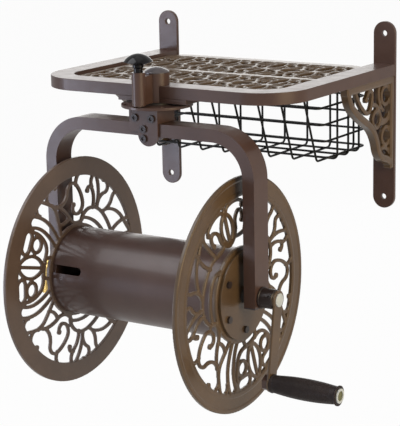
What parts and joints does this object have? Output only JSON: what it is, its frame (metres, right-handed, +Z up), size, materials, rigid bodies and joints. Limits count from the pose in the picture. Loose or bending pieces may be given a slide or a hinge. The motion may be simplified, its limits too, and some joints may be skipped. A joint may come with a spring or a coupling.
{
  "type": "wall-mounted garden hose reel",
  "caption": "Hose reel with scroll-work discs that swivels under a bracket shelf on wall straps, with a lock pin, a hand crank, a hose inlet and a wire storage basket.",
  "frame": {"origin": "middle of the four wall bolt holes, on the wall plane", "axes": "+X to the right seen from the front, +Y into the wall, +Z up"},
  "size_m": [0.5447, 0.5285, 0.5365],
  "materials": {
    "bronze_coat": "semi-gloss powder coat",
    "bronze_casting": "semi-gloss powder coat on cast aluminium",
    "black_wire": "satin black",
    "black_knob": "gloss",
    "dark_cap": "semi-gloss",
    "bearing_plastic": "smooth",
    "steel": "zinc plated",
    "brass": "turned",
    "grip_rubber": "matte",
    "seal_rubber": "matte",
    "dark_boss": "satin",
    "black_steel": "black oxide",
    "olive_plating": "yellow zinc plated",
    "pale_washer": "plated"
  },
  "bodies": {
    "wall_mount": {"wall_strap_left": "bronze_coat", "wall_strap_right": "bronze_coat", "gusset_left": "bronze_casting", "gusset_right": "bronze_casting", "shelf_frame": "bronze_coat", "base_plate": "bronze_coat", "pivot_housing": "bronze_coat", "pivot_bush_lower": "bearing_plastic", "pivot_bush_upper": "bearing_plastic", "index_gland": "steel", "dome_cap": "dark_cap", "basket_front": "black_wire", "basket_back": "black_wire", "basket_floor": "black_wire", "basket_left": "black_wire", "basket_right": "black_wire", "basket_hangers": "black_wire"},
    "shelf_panel": {"shelf_panel": "bronze_casting"},
    "index_pin": {"index_pin": "steel", "index_knob": "black_knob", "index_spring": "steel"},
    "swivel": {"swivel_plate": "bronze_coat", "thrust_washer": "bearing_plastic", "pivot_shaft": "steel", "pivot_washer": "steel", "pivot_nut": "steel", "clamp_plate_front": "bronze_coat", "clamp_plate_rear": "bronze_coat", "clamp_block": "bronze_coat", "clamp_bolts": "black_steel", "clamp_nuts": "black_steel", "yoke": "bronze_coat", "leg_plug_left": "dark_cap", "leg_plug_right": "dark_cap", "axle_bush_left": "bearing_plastic", "axle_bush_right": "bearing_plastic", "inlet_elbow": "brass", "inlet_seal": "seal_rubber"},
    "reel": {"reel_disc_left": "bronze_casting", "reel_disc_right": "bronze_casting", "drum": "bronze_coat", "drum_end_left": "bronze_coat", "drum_end_right": "bronze_coat", "hub_plate_left": "bronze_casting", "hub_plate_right": "bronze_casting", "hub_screws_left": "black_steel", "hub_screws_right": "black_steel", "axle_collar_left": "bearing_plastic", "axle_collar_right": "bearing_plastic", "axle": "steel", "outlet_spud": "brass", "crank_collar": "dark_boss", "crank_set_screw": "black_steel", "crank_arm": "bronze_casting", "crank_cap": "pale_washer", "handle_spindle": "olive_plating", "handle_nut": "bronze_coat", "handle_end_washer": "pale_washer"},
    "grip": {"hand_grip": "grip_rubber"}
  },
  "joints": [
    {"name": "panel_lift", "type": "slide", "parent": "wall_mount", "child": "shelf_panel", "axis": [0, 0, 1], "range_m": [0, 0.12]},
    {"name": "pin_pull", "type": "slide", "parent": "wall_mount", "child": "index_pin", "axis": [0, 0, 1], "range_m": [-0.006, 0.004], "deforming": ["index_spring"]},
    {"name": "swivel_turn", "type": "hinge", "parent": "wall_mount", "child": "swivel", "pos_m": [0, -0.339, 0.05], "axis": [0, 0, 1], "range_deg": [-90, 90]},
    {"name": "reel_spin", "type": "hinge", "parent": "swivel", "child": "reel", "pos_m": [0, -0.3535, -0.213], "axis": [1, 0, 0], "continuous": true},
    {"name": "grip_spin", "type": "hinge", "parent": "reel", "child": "grip", "pos_m": [0, -0.37389, -0.33227], "axis": [1, 0, 0], "continuous": true}
  ]
}
